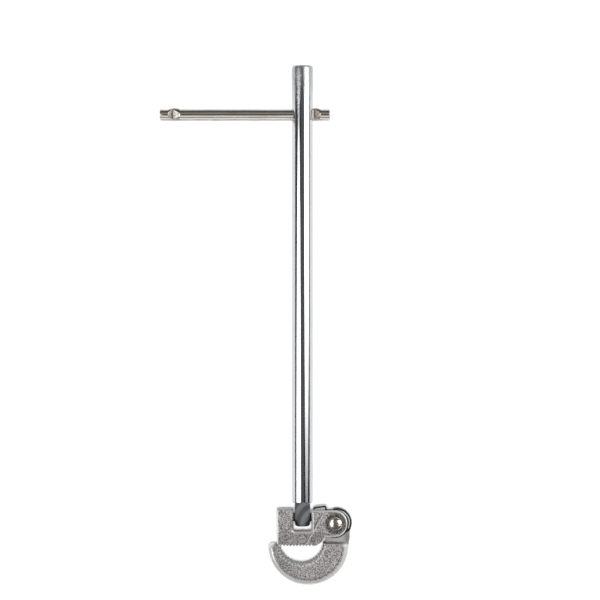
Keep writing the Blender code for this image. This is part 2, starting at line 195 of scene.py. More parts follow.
# The casting's surface.
VOXEL = 0.225 * MM
GRAIN_SIZE = 0.75 * MM
GRAIN_HEIGHT = 0.08 * MM
FINE_GRAIN_SIZE = 0.42 * MM
FINE_GRAIN_HEIGHT = 0.03 * MM
# How far the colour is darkened where shade is painted, then the painted shade on the low or left part of the
# faces and on the tongue's far end.
PAINTED_SHADE_TINT = 0.36
SIDE_SHADE = 0.34
TONGUE_SHADE = 0.6
FACE_SINK = 0.16 * MM
DISH_DEPTH = 0.14 * MM
RIDGE_HEIGHT = 0.16 * MM
GROOVE_DEPTH = 0.1 * MM
NOTCH_DEPTH = 0.25 * MM

# The camera and the studio.
VIEW_CENTRE = Vector((-1.4 * MM, 137.2 * MM))
VIEW_WIDTH = 346.8 * MM
VIEW_HEIGHT = 1.45
SENSOR_WIDTH = 36.0
CARD_DISTANCE = 1.2
FLOOR_RADIUS = 12.0


def around(centre, radius, degrees):
    """The point of a circle at that angle. radius may be (x, y)."""
    across, up = radius if isinstance(radius, tuple) else (radius, radius)
    turn = math.radians(degrees)
    return (centre[0] + across * math.cos(turn), centre[1] + up * math.sin(turn))


def ramp(start, end, count):
    return [start + (end - start) * i / (count - 1) for i in range(count)]


def arc(centre, radius, start, end, steps):
    return [around(centre, radius, degrees) for degrees in ramp(start, end, steps + 1)]


def smoothstep(low, high, value):
    part = np.clip((value - low) / (high - low), 0.0, 1.0)
    return part * part * (3.0 - 2.0 * part)


def add_object(name, bm, finish=None, place=(0.0, 0.0, 0.0), sharp=35.0):
    bmesh.ops.recalc_face_normals(bm, faces=bm.faces)
    mesh = bpy.data.meshes.new(name)
    bm.to_mesh(mesh)
    bm.free()
    mesh.shade_smooth()
    mesh.set_sharp_from_angle(angle=math.radians(sharp))
    mesh.transform(Matrix.Translation(place))
    made = bpy.data.objects.new(name, mesh)
    if finish:
        mesh.materials.append(finish)
    bpy.context.scene.collection.objects.link(made)
    return made


def loft(rings):
    """A closed bmesh through rings of equally many points, capped at both ends."""
    bm = bmesh.new()
    loops = [[bm.verts.new(p) for p in ring] for ring in rings]
    count = len(loops[0])
    for low, high in zip(loops, loops[1:]):
        for i in range(count):
            j = (i + 1) % count
            bm.faces.new((low[i], low[j], high[j], high[i]))
    bm.faces.new(loops[0])
    bm.faces.new(loops[-1])
    return bm


def raised(outline, height):
    return [(x, y, height) for x, y in outline]


def inset(outline, weights, distance):
    """The outline moved inwards by distance times each point's weight. It runs counter-clockwise."""
    moved = []
    count = len(outline)
    for i, (x, y) in enumerate(outline):
        before = Vector(outline[i]) - Vector(outline[i - 1])
        after = Vector(outline[(i + 1) % count]) - Vector(outline[i])
        inward = before.normalized() + after.normalized()
        inward = Vector((-inward.y, inward.x)).normalized()
        lean = max(0.5, inward.dot(Vector((-before.y, before.x)).normalized()))
        step = inward * (distance * weights[i] / lean)
        moved.append((x + step.x, y + step.y))
    return moved


def rounded_plate(outline, weights, half_depth, radius, steps):
    rings = []
    for degrees in ramp(0.0, 90.0, steps + 1):
        turn = math.radians(degrees)
        ring = inset(outline, weights, radius * (1.0 - math.sin(turn)))
        rings.append(raised(ring, -half_depth + radius * (1.0 - math.cos(turn))))
    mirrored = [[(x, y, -z) for x, y, z in ring] for ring in reversed(rings)]
    return loft(rings + mirrored)


def turned(profile, sides):
    """A solid of revolution about Z from (radius, height) pairs."""
    return loft([raised(arc((0.0, 0.0), r, 0.0, 360.0, sides)[:-1], height) for r, height in profile])


ALONG_X = Matrix.Rotation(math.radians(90.0), 4, "Y")
ALONG_Y = Matrix.Rotation(math.radians(-90.0), 4, "X")


def lay(bm, rotation):
    bm.transform(rotation)
    return bm


def box(low, high):
    bm = bmesh.new()
    bmesh.ops.create_cube(bm, size=1.0)
    for vert in bm.verts:
        for axis in range(3):
            vert.co[axis] = high[axis] if vert.co[axis] > 0 else low[axis]
    return bm


def combine(target, other, operation):
    """A Boolean of target and other, applied, after which other is gone."""
    step = target.modifiers.new(other.name, "BOOLEAN")
    step.operation = operation
    step.object = other
    step.solver = "EXACT"
    apply_modifiers(target)
    bpy.data.objects.remove(other)


def apply_modifiers(target):
    graph = bpy.context.evaluated_depsgraph_get()
    graph.update()
    mesh = bpy.data.meshes.new_from_object(target.evaluated_get(graph))
    target.modifiers.clear()
    target.data = mesh


# Materials.


class Nodes:
    """A material's node tree with its Principled shader, and short calls that add and join nodes."""

    def __init__(self, name, colour, roughness, metallic=1.0):
        self.material = bpy.data.materials.new(name)
        self.material.use_nodes = True
        self.tree = self.material.node_tree
        self.shader = self.tree.nodes["Principled BSDF"]
        self.shader.inputs["Base Color"].default_value = (*colour, 1.0)
        self.shader.inputs["Roughness"].default_value = roughness
        self.shader.inputs["Metallic"].default_value = metallic
        self.place = self.tree.nodes.new("ShaderNodeTexCoord").outputs["Object"]

    def add(self, kind, **inputs):
        node = self.tree.nodes.new(kind)
        for name, value in inputs.items():
            socket = node.inputs[name.replace("_", " ")]
            if isinstance(value, bpy.types.NodeSocket):
                self.tree.links.new(value, socket)
            else:
                socket.default_value = value
        return node

    def join(self, output, socket):
        self.tree.links.new(output, socket)

    def attribute(self, name):
        node = self.tree.nodes.new("ShaderNodeAttribute")
        node.attribute_name = name
        return node.outputs["Fac"]

    def stretched(self, scale, offset=(0.0, 0.0, 0.0)):
        """The object's coordinates, scaled so that one unit is one grain of the given size."""
        shifted = self.add("ShaderNodeMapping", Vector=self.place)
        shifted.inputs["Location"].default_value = [-o / s for o, s in zip(offset, scale)]
        shifted.inputs["Scale"].default_value = [1.0 / s for s in scale]
        return shifted.outputs["Vector"]

    def noise(self, scale, detail=2.0, roughness=0.5, offset=(0.0, 0.0, 0.0)):
        size = scale if isinstance(scale, tuple) else (scale,) * 3
        node = self.add("ShaderNodeTexNoise", Vector=self.stretched(size, offset), Scale=1.0)
        node.inputs["Detail"].default_value = detail
        node.inputs["Roughness"].default_value = roughness
        return node.outputs["Fac"]

    def span(self, value, low, high, to_low=0.0, to_high=1.0):
        node = self.tree.nodes.new("ShaderNodeMapRange")
        node.interpolation_type = "SMOOTHSTEP"
        self.join(value, node.inputs["Value"])
        settings = (("From Min", low), ("From Max", high), ("To Min", to_low), ("To Max", to_high))
        for name, setting in settings:
            node.inputs[name].default_value = setting
        return node.outputs["Result"]

    def maths(self, operation, first, second):
        node = self.tree.nodes.new("ShaderNodeMath")
        node.operation = operation
        for socket, value in zip(node.inputs, (first, second)):
            if isinstance(value, bpy.types.NodeSocket):
                self.join(value, socket)
            else:
                socket.default_value = value
        return node.outputs[0]

    def colour(self, value, low, high):
        """Mixes two colours by value."""
        node = self.tree.nodes.new("ShaderNodeMix")
        node.data_type = "RGBA"
        self.join(value, node.inputs[0])
        for socket, setting in ((node.inputs[6], low), (node.inputs[7], high)):
            if isinstance(setting, bpy.types.NodeSocket):
                self.join(setting, socket)
            else:
                socket.default_value = (*setting, 1.0)
        return node.outputs[2]

    def bump(self, height, depth, under=None):
        """A bump of that depth in metres, on top of another one."""
        node = self.tree.nodes.new("ShaderNodeBump")
        node.inputs["Strength"].default_value = 1.0
        node.inputs["Distance"].default_value = depth
        self.join(height, node.inputs["Height"])
        if under:
            self.join(under, node.inputs["Normal"])
        self.join(node.outputs["Normal"], self.shader.inputs["Normal"])
        return node.outputs["Normal"]

    def finish(self, base=None, rough=None):
        if base:
            self.join(base, self.shader.inputs["Base Color"])
        if rough:
            self.join(rough, self.shader.inputs["Roughness"])
        return self.material


def chromed_rod():
    """Bright chrome with fine lengthwise lines, a pitted upper end and the cutter's arcs on the tang."""
    bright = (0.63, 0.64, 0.655)
    made = Nodes("chromed_rod", bright, 0.10)
    along = made.tree.nodes.new("ShaderNodeSeparateXYZ")
    made.join(made.place, along.inputs[0])
    height = along.outputs["Y"]
    pitted = made.span(height, SHAFT_HIGH.y - 30 * MM, SHAFT_HIGH.y - 5 * MM)
    milled = made.span(height, PIN_PLACE.y + SHOULDER + 0.2 * MM, PIN_PLACE.y + SHOULDER - 0.2 * MM)
    lines = made.noise((0.22 * MM, 30 * MM, 0.22 * MM), detail=3.0)
    wander = made.noise((3.5 * MM, 22 * MM, 3.5 * MM), detail=1.0)
    pits = made.noise(0.9 * MM, detail=3.0, roughness=0.6)
    cutter = PIN_PLACE + Vector((9 * MM, -4 * MM, 0))
    arcs = made.add("ShaderNodeTexWave", Vector=made.stretched((MM,) * 3, cutter))
    arcs.wave_type = "RINGS"
    arcs.rings_direction = "Z"
    for name, value in (("Scale", 0.055), ("Distortion", 1.6), ("Detail", 3.0), ("Detail Scale", 0.6)):
        arcs.inputs[name].default_value = value
    under = made.bump(wander, 0.012 * MM)
    plain = made.maths("SUBTRACT", 1.0, milled)
    under = made.bump(made.maths("MULTIPLY", lines, plain), 0.0016 * MM, under)
    under = made.bump(made.maths("MULTIPLY", pits, pitted), 0.16 * MM, under)
    made.bump(made.maths("MULTIPLY", arcs.outputs["Fac"], milled), 0.06 * MM, under)
    tint = made.colour(made.maths("MULTIPLY", pitted, pits), bright, (0.32, 0.32, 0.33))
    cut = made.colour(made.span(arcs.outputs["Fac"], 0.1, 0.9), (0.33, 0.35, 0.39), (0.73, 0.74, 0.76))
    tint = made.colour(milled, tint, cut)
    worn = made.span(made.noise((0.5 * MM, 12 * MM, 0.5 * MM), detail=3.0), 0.35, 0.75, 0.07, 0.15)
    rough = made.maths("ADD", worn, made.maths("MULTIPLY", milled, 0.22))
    rough = made.maths("ADD", rough, made.maths("MULTIPLY", pitted, 0.16))
    return made.finish(tint, rough)


def nickel_bar():
    """Bright nickel, a little warm, with drawing lines along the bar and a dull right flank in each stop."""
    made = Nodes("nickel_bar", (0.72, 0.69, 0.65), 0.16)
    lines = made.noise((25 * MM, 0.2 * MM, 0.2 * MM), detail=3.0)
    wander = made.noise((14 * MM, 2.4 * MM, 2.4 * MM), detail=1.0)
    under = made.bump(wander, 0.014 * MM)
    made.bump(lines, 0.003 * MM, under)
    stain = made.noise((9 * MM, 1.5 * MM, 1.5 * MM), detail=4.0, roughness=0.6)
    tint = made.colour(made.span(stain, 0.35, 0.7), (0.70, 0.67, 0.63), (0.60, 0.55, 0.50))
    rough = made.span(stain, 0.3, 0.7, 0.12, 0.22)
    mottled = made.noise(0.8 * MM, detail=2.0)
    dull = made.colour(made.span(mottled, 0.4, 0.6), (0.20, 0.175, 0.145), (0.40, 0.37, 0.33))
    along = made.add("ShaderNodeSeparateXYZ", Vector=made.place).outputs["X"]
    for place, lean, short in STOPS:
        start = BAR_PLACE.x + place
        before = made.span(along, start, start + GAP)
        after = made.span(along, start + STOP_LONG - 3 * GAP, start + STOP_LONG, 1.0, 0.0)
        flank = made.maths("MULTIPLY", before, after)
        tint = made.colour(flank, tint, dull)
        rough = made.maths("ADD", rough, made.maths("MULTIPLY", flank, 0.14))
    return made.finish(tint, rough)


def plated_casting(name, rim, face, dark):
    """Nickel over a cast skin: granular on flats, smoother and lighter on rims, with painted shade."""
    made = Nodes(name, rim, 0.4)
    grain = made.attribute("grain")
    blobs = made.noise(0.78 * MM, detail=3.0, roughness=0.65)
    specks = made.noise(0.42 * MM, detail=2.0)
    streaks = made.noise((0.45 * MM, 5 * MM, 5 * MM), detail=3.0)
    under = made.bump(made.maths("MULTIPLY", blobs, grain), 0.13 * MM)
    under = made.bump(made.maths("MULTIPLY", specks, grain), 0.06 * MM, under)
    made.bump(streaks, 0.006 * MM, under)
    spread = made.span(blobs, 0.38, 0.62)
    tint = made.colour(spread, dark, face)
    tint = made.colour(made.span(specks, 0.60, 0.68), tint, (0.86, 0.85, 0.84))
    worn = made.colour(made.span(streaks, 0.3, 0.7), [part * 0.85 for part in rim], rim)
    tint = made.colour(grain, worn, tint)
    # The colour where shade is painted: the skin's colours darkened, with streaks along the depth.
    drawn = made.span(made.noise((0.7 * MM, 0.7 * MM, 3.5 * MM), detail=2.0), 0.42, 0.58)
    wall = made.colour(drawn, [part * PAINTED_SHADE_TINT for part in dark], [part * PAINTED_SHADE_TINT for part in face])
    tint = made.colour(made.attribute("shade"), tint, wall)
    return made.finish(tint, made.span(grain, 0.0, 1.0, 0.42, 0.36))


def spring_steel():
    made = Nodes("spring_steel", (0.07, 0.07, 0.08), 0.38, metallic=0.9)
    lines = made.noise((6 * MM, 0.3 * MM, 0.3 * MM), detail=2.0)
    made.bump(lines, 0.004 * MM)
    return made.finish(made.colour(lines, (0.05, 0.05, 0.06), (0.13, 0.13, 0.13)))


def polished_rivet():
    """A bright dome, warm, with a few faint marks of the peening tool and a greyer, darker foot."""
    made = Nodes("polished_rivet", (0.82, 0.75, 0.66), 0.22)
    place = made.add("ShaderNodeVectorMath", Vector=made.place)
    place.operation = "DISTANCE"
    place.inputs[1].default_value = RIVET_PLACE + Vector((0.0, 0.0, MID_Z))
    foot = made.span(place.outputs["Value"], 3.6 * MM, 4.3 * MM)
    marks = made.noise(1.6 * MM, detail=2.0)
    under = made.bump(marks, 0.05 * MM)
    made.bump(made.noise(0.25 * MM, detail=2.0), 0.004 * MM, under)
    tint = made.colour(foot, (0.84, 0.76, 0.66), (0.62, 0.60, 0.57))
    return made.finish(tint, made.span(marks, 0.3, 0.7, 0.16, 0.23))


def black_wire():
    made = Nodes("black_wire", (0.008, 0.008, 0.008), 0.38, metallic=0.0)
    marks = made.noise(0.4 * MM, detail=3.0)
    made.bump(marks, 0.01 * MM)
    return made.finish(
        made.colour(made.span(marks, 0.55, 0.75), (0.006, 0.006, 0.006), (0.03, 0.03, 0.03)),
        made.span(marks, 0.3, 0.7, 0.30, 0.48),
    )


# Pieces.


def make_shaft():
    """The rod with its tang, the flared cross hole and the pin's hole."""
    sides = 160
    profile = [(SHAFT_RADIUS - SHOULDER_CHAMFER, SHOULDER), (SHAFT_RADIUS, SHOULDER + SHOULDER_CHAMFER)]
    hole_y = BAR_PLACE.y - PIN_PLACE.y
    near = 2.5 * SHAFT_RADIUS / 2
    profile += [(SHAFT_RADIUS, y) for y in ramp(SHOULDER + SHAFT_RADIUS, hole_y - near, 24)]
    profile += [(SHAFT_RADIUS, y) for y in ramp(hole_y - near, hole_y + near, 31)[1:]]
    round_centre = (SHAFT_RADIUS - SHAFT_TOP_ROUND, SHAFT_TOP - SHAFT_TOP_ROUND)
    profile += [(SHAFT_RADIUS, y) for y in ramp(hole_y + near, round_centre[1], 6)[1:-1]]
    profile += arc(round_centre, SHAFT_TOP_ROUND, 0.0, 90.0, steps=10)
    shaft = add_object("fine_shaft", lay(turned(profile, sides), ALONG_Y), chromed_rod(), PIN_PLACE)
    round_centre = (TANG_HALF_WIDTH - TANG_END_ROUND, TANG_END + TANG_END_ROUND)
    turned_end = arc(round_centre, TANG_END_ROUND, -88.0, -15.0, steps=12)
    turned_end.append((TANG_RADIUS, TANG_END + TANG_RADIUS - TANG_END_ROUND))
    turned_end.append((TANG_RADIUS, SHOULDER + TANG_RADIUS))
    tang = add_object("tang", lay(turned(turned_end, sides), ALONG_Y), None, PIN_PLACE)
    low = (-TANG_HALF_WIDTH, 2.0 * TANG_END, -TANG_HALF_DEPTH)
    high = (TANG_HALF_WIDTH, 2.0 * SHOULDER + TANG_RADIUS, TANG_HALF_DEPTH)
    flats = box(low, high)
    bmesh.ops.bevel(flats, geom=flats.edges, offset=GAP, segments=2, affect="EDGES", profile=0.5)
    combine(tang, add_object("flats", flats, None, PIN_PLACE), "INTERSECT")
    combine(shaft, tang, "UNION")
    beyond = 2.0 * SHAFT_RADIUS
    mouth = SHAFT_RADIUS - BAR_HOLE_FLARE
    flared = BAR_HOLE_RADIUS + beyond - mouth
    hole = turned(
        [(flared, -beyond), (BAR_HOLE_RADIUS, -mouth), (BAR_HOLE_RADIUS, mouth), (flared, beyond)], 96
    )
    combine(shaft, add_object("bar_hole", lay(hole, ALONG_X), None, BAR_PLACE), "DIFFERENCE")
    pin_hole = turned([(PIN_RADIUS + GAP, -beyond), (PIN_RADIUS + GAP, beyond)], 64)
    combine(shaft, add_object("pin_hole", lay(pin_hole, ALONG_X), None, PIN_PLACE), "DIFFERENCE")
    shaft.data.set_sharp_from_angle(angle=math.radians(30.0))
    return shaft


def bar_section(x, radius, sides):
    """The bar's section at x. A wedge pressed in from two sides leaves flats and pushes out two ears."""
    points = []
    for i in range(sides):
        turn = math.tau * i / sides
        point = Vector((math.cos(turn), math.sin(turn))) * radius
        for place, lean, short in STOPS:
            out = (x - place) / (STOP_LONG if x > place else short)
            if abs(out) < 1.0:
                rise = math.hypot(out, STOP_ROUND) - STOP_ROUND
                near = 1.0 - rise / (math.hypot(1.0, STOP_ROUND) - STOP_ROUND)
                pressed = Vector(around((0.0, 0.0), 1.0, lean))
                across = Vector((-pressed.y, pressed.x))
                flat = BAR_RADIUS - STOP_DENT * near
                kept = max(-flat, min(flat, point.dot(pressed)))
                side = point.dot(across)
                ear = STOP_UPPER_EAR if side > 0.0 else STOP_LOWER_EAR
                swell = ear / BAR_RADIUS * math.sin(near * math.pi / 2) * (side / BAR_RADIUS) ** 2
                point = pressed * kept + across * (side * (1.0 + swell))
        points.append((x, point.x, point.y))
    return points


def make_t_bar():
    sides = 96
    left, right = BAR_LOW.x - BAR_PLACE.x, BAR_HIGH.x - BAR_PLACE.x
    stations = ramp(left + BAR_END_CHAMFER, right - BAR_END_CHAMFER, 50)
    for place, lean, short in STOPS:
        stations += ramp(place - short, place, 24) + ramp(place, place + STOP_LONG, 32)[1:]
    rings = [bar_section(x, BAR_RADIUS, sides) for x in sorted(set(stations))]
    for degrees in ramp(30.0, 90.0, 5):
        turn = math.radians(degrees)
        out = BAR_END_CHAMFER * (1.0 - math.cos(turn))
        reach = BAR_END_CHAMFER * math.sin(turn)
        rings.insert(0, bar_section(left + BAR_END_CHAMFER - reach, BAR_RADIUS - out, sides))
        rings.append(bar_section(right - BAR_END_CHAMFER + reach, BAR_RADIUS - out, sides))
    return add_object("fine_t_bar", loft(rings), nickel_bar(), BAR_PLACE, sharp=18.0)


def make_head_pin():
    """The slotted spring pin, with the slit facing the rear and both ends chamfered."""
    slit = math.degrees(math.asin(PIN_SLIT / 2 / PIN_BORE_RADIUS))
    rings = []
    for x, shrink in (
        (PIN_LEFT, GAP),
        (PIN_LEFT + GAP, 0.0),
        (PIN_RIGHT - GAP, 0.0),
        (PIN_RIGHT, GAP),
    ):
        outer = arc((0, 0), PIN_RADIUS - shrink, slit, 360.0 - slit, steps=60)
        inner = arc((0, 0), PIN_BORE_RADIUS, 360.0 - slit, slit, steps=60)
        rings.append([(x, y, z) for z, y in outer + inner])
    return add_object("fine_head_pin", loft(rings), spring_steel(), PIN_PLACE)


def cast_surface(piece, skin):
    """Remeshes a cast piece finely, sinks parts of its faces and gives its skin real grains.

    skin gives the grain (0 on a smooth rim, 1 on the cast skin), the painted shade (1 where the colour is
    fully darkened as shade, as on a shaded wall) and the sinking of every point. The first two stay on the
    mesh as attributes for the material.
    """
    fine = piece.modifiers.new("fine", "REMESH")
    fine.mode = "VOXEL"
    fine.voxel_size = VOXEL
    fine.use_smooth_shade = True
    soft = piece.modifiers.new("soft", "SMOOTH")
    soft.factor = 0.5
    soft.iterations = 1
    apply_modifiers(piece)
    mesh = piece.data
    count = len(mesh.vertices)
    points = np.empty(count * 3)
    normals = np.empty(count * 3)
    mesh.vertices.foreach_get("co", points)
    mesh.vertex_normals.foreach_get("vector", normals)
    points, normals = points.reshape(-1, 3), normals.reshape(-1, 3)
    facing = np.abs(normals[:, 2])
    face = smoothstep(0.93, 0.99, facing)
    wall = 1.0 - smoothstep(0.15, 0.45, facing)
    grain, shade, sink = skin(points - np.array(PIN_PLACE), normals, face, wall)
    coarse = np.array([noise.noise(Vector(p) / GRAIN_SIZE) for p in points])
    finer = np.array([noise.noise(Vector(p) / FINE_GRAIN_SIZE + Vector((7.0, 3.0, 5.0))) for p in points])
    height = grain * (GRAIN_HEIGHT * coarse + FINE_GRAIN_HEIGHT * finer) - GRAIN_HEIGHT * grain
    points += normals * height[:, None]
    points[:, 2] -= np.sign(normals[:, 2]) * smoothstep(0.5, 0.9, facing) * sink
    mesh.vertices.foreach_set("co", points.ravel())
    for name, values in (("grain", grain), ("shade", shade)):
        mesh.attributes.new(name, "FLOAT", "POINT").data.foreach_set("value", values.astype(np.float32))
    mesh.update()
    mesh.shade_smooth()
    return piece


def fixed_jaw_outline():
    """The casting's outline from the front with how much of the edge rounding each point takes."""
    block = [(0.0, BLOCK_TOP), (BLOCK_LEFT, BLOCK_TOP), (BLOCK_LEFT, TOOTH_TIPS + CORNER_FOOT + CORNER_RISE)]
    teeth = [(BLOCK_LEFT + CORNER_CUT, TOOTH_TIPS + CORNER_FOOT)]
    to_a_tooth = 6
    for i in range(TOOTH_COUNT * to_a_tooth + 1):
        part = i / to_a_tooth
        height = (TOOTH_DEPTH + TOOTH_MORE) * (1.0 + math.cos(math.tau * part)) / 2
        teeth.append((TOOTH_FIRST + part * TOOTH_PITCH, TOOTH_TIPS + height))
    heel = arc(HEEL_CENTRE, HEEL_RADIUS, HEEL_START, HEEL_END, steps=24)
    ear = [(HEEL_CENTRE[0] + HEEL_RADIUS, RIVET[1] - EAR_HALF_HEIGHT)]
    ear += arc(RIVET, (EAR_REACH, EAR_HALF_HEIGHT), -90.0, 90.0, steps=48)
    ear += [(0.0, RIVET[1] + EAR_HALF_HEIGHT)]
    outline = block + teeth + heel + ear
    weights = [1.0] * len(block) + [0.0] * len(teeth) + [HEEL_EDGE] * len(heel) + [1.0] * len(ear)
    return outline, weights


def slot_section(spread):
    """The U slot's outline, spread apart for the chamfer, open at the top."""
    half, bottom = SLOT_HALF_WIDTH + spread, SLOT_BOTTOM - spread
    corner = SLOT_CORNER + spread / 2
    top = 2.0 * BLOCK_TOP
    left = arc((-half + corner, bottom + corner), corner, 180.0, 270.0, steps=8)
    right = arc((half - corner, bottom + corner), corner, 270.0, 360.0, steps=8)
    return [(-half, top)] + left + right + [(half, top)]


def fixed_jaw_skin(points, normals, face, wall):
    """Grain, a dish round the rivet, a ridge and a groove at the ear's root.

    Painted shade darkens the face round the rivet, the groove, the walls that face up outside the slot
    and the low part of the face.
    """
    x, y = points[:, 0], points[:, 1]
    away = np.hypot(x - RIVET[0], y - RIVET[1])
    dish = DISH_DEPTH * (1.0 - smoothstep(4.4 * MM, 6.2 * MM, away))
    across = around((0.0, 0.0), 1.0, RIDGE_LEAN)
    root = x * across[0] + y * across[1] - RIDGE_PLACE
    low = 1.0 - smoothstep(2 * MM, 4 * MM, y)
    ridge = np.exp(-((root / RIDGE_WIDTH) ** 2)) * low
    step = FACE_SINK * smoothstep(RIDGE_WIDTH, 4 * RIDGE_WIDTH, root)
    slot_edge = SLOT_HALF_WIDTH + SLOT_CHAMFER
    outside = smoothstep(0.0, 0.4 * MM, np.abs(x) - slot_edge)
    # Painted shade on the face round the rivet.
    ring = face * (1.0 - smoothstep(5.2 * MM, 7.0 * MM, away))
    # The groove beside the ridge is sunk and also darkened with painted shade.
    groove = 0.8 * np.exp(-(((root + 2.2 * RIDGE_WIDTH) / (1.3 * RIDGE_WIDTH)) ** 2)) * low
    top = outside * (x < 0.0) * smoothstep(-1.1 * MM, -0.7 * MM, y - BLOCK_TOP)
    in_slot = (np.abs(x) < slot_edge) * (y > SLOT_BOTTOM + SLOT_CORNER) * (x < SLOT_HALF_WIDTH)
    grain = np.maximum(np.maximum(face, wall), np.maximum(top, in_slot)) * (1.0 - 0.6 * ridge)
    # Painted shade on the walls that face up, outside the slot.
    upward = smoothstep(0.5, 0.9, normals[:, 1])
    shade = np.maximum(np.maximum(0.6 * wall * outside * upward, ring), groove * face)
    # Painted shade on the low part of the face.
    side_shade = SIDE_SHADE * face * smoothstep(7.5 * MM, 9.5 * MM, -y)
    return grain, np.maximum(shade, side_shade), dish + step + GROOVE_DEPTH * groove - RIDGE_HEIGHT * ridge


def make_fixed_jaw():
    outline, weights = fixed_jaw_outline()
    bm = rounded_plate(outline, weights, MID_Z, EDGE_ROUND, steps=6)
    jaw = add_object("fine_fixed_jaw", bm, None, PIN_PLACE)
    past = MID_Z + SLOT_CHAMFER
    inner = MID_Z - SLOT_CHAMFER
    layers = ((-past, 2 * SLOT_CHAMFER), (-inner, 0.0), (inner, 0.0), (past, 2 * SLOT_CHAMFER))
    slot = loft([raised(slot_section(spread), height) for height, spread in layers])
    combine(jaw, add_object("tang_slot", slot, None, PIN_PLACE), "DIFFERENCE")
    far = 2.0 * SWING_RADIUS
    for side in (-1.0, 1.0):
        sweep = arc((0, 0), SWING_RADIUS, 0.0, 60.0, steps=24)
        corner = [(z * side, y) for z, y in sweep] + [(side * sweep[-1][0], far), (side * far, far)]
        corner.append((side * far, 0.0))
        rings = [[(x, y, z) for z, y in corner] for x in (-SWING_HALF_WIDTH, SWING_HALF_WIDTH)]
        combine(jaw, add_object("swing_relief", loft(rings), None, PIN_PLACE), "DIFFERENCE")
    lean = math.degrees(math.acos((FORK_INNER_X - RIVET[0]) / FORK_RADIUS))
    fork = [(2.0 * RIVET[0], far), (FORK_INNER_X, far)]
    fork += arc(RIVET, FORK_RADIUS, lean, 360.0 - lean, steps=32)
    fork += [(FORK_INNER_X, -far), (2.0 * RIVET[0], -far)]
    gap = loft([raised(fork, -FORK_HALF_GAP), raised(fork, FORK_HALF_GAP)])
    combine(jaw, add_object("fork_gap", gap, None, PIN_PLACE), "DIFFERENCE")
    pin_hole = turned([(PIN_RADIUS + GAP, 2.0 * BLOCK_LEFT), (PIN_RADIUS + GAP, PIN_RIGHT + GAP)], 64)
    combine(jaw, add_object("pin_hole", lay(pin_hole, ALONG_X), None, PIN_PLACE), "DIFFERENCE")
    wide = RIVET_TAIL_RADIUS + 1.5 * GAP
    sunk = [
        (wide + GAP, -MID_Z - GAP),
        (RIVET_RADIUS + GAP, -MID_Z + RIVET_TAIL_DEPTH + GAP),
        (RIVET_RADIUS + GAP, 2.0 * MID_Z),
    ]
    combine(jaw, add_object("rivet_hole", turned(sunk, 64), None, RIVET_PLACE), "DIFFERENCE")
    cast_surface(jaw, fixed_jaw_skin)
    finish = plated_casting("jaw_casting", (0.74, 0.73, 0.74), (0.58, 0.57, 0.56), (0.115, 0.11, 0.105))
    jaw.data.materials.append(finish)
    return jaw


def make_jaw_rivet():
    """A domed head in front, and a tail peened flush into the countersink at the rear."""
    base = MID_Z + GAP
    dome = arc((0.0, 0.0), (RIVET_HEAD_RADIUS, RIVET_HEAD_HEIGHT), 0.0, 88.0, steps=24)
    profile = [
        (RIVET_TAIL_RADIUS, -MID_Z + GAP / 2),
        (RIVET_RADIUS, -MID_Z + RIVET_TAIL_DEPTH),
        (RIVET_RADIUS, base),
        (RIVET_HEAD_RADIUS - GAP, base),
    ]
    profile += [(radius, base + GAP + height) for radius, height in dome]
    return add_object("fine_jaw_rivet", turned(profile, 96), polished_rivet(), RIVET_PLACE)


def from_rivet(outline):
    return [(x - RIVET[0], y - RIVET[1]) for x, y in outline]


def hook_outline():
    """The crescent from the front with how much of the edge rounding each point takes."""
    tip_centre = around(HOOK_CENTRE, HOOK_RADIUS - HOOK_TIP_RADIUS, HOOK_TIP_ANGLE)
    outer = arc(HOOK_CENTRE, (HOOK_RADIUS, HOOK_DROP), HOOK_OUTER_START, HOOK_OUTER_END, steps=108)
    corner_centre = (outer[-1][0] - HOOK_CORNER_RADIUS, HOOK_SHOULDER - HOOK_CORNER_RADIUS)
    corner = arc(corner_centre, HOOK_CORNER_RADIUS, 0.0, 90.0, steps=15)
    step = (THROAT_LAST - THROAT_FIRST) / THROAT_TEETH
    throat = [(THROAT_CENTRE[0] + THROAT_ROOTS, HOOK_SHOULDER)]
    for i in range(THROAT_TEETH):
        root = THROAT_LAST - i * step
        throat.append(around(THROAT_CENTRE, THROAT_ROOTS + TOOTH_MORE, root))
        throat.append(around(THROAT_CENTRE, THROAT_ROOTS - TOOTH_DEPTH, root - step / 2))
    throat.append(around(THROAT_CENTRE, THROAT_ROOTS, THROAT_FIRST))
    tip = arc(tip_centre, HOOK_TIP_RADIUS, HOOK_TIP_START, HOOK_TIP_ANGLE, steps=30)
    outline = outer + corner + throat + tip
    weights = [1.0] * len(outer) + ramp(*HOOK_CORNER_EDGES, len(corner))
    weights += [HOOK_CORNER_EDGES[1]] + [0.0] * (len(throat) - 1)
    weights += ramp(*HOOK_TIP_EDGES, len(tip))
    return outline, weights


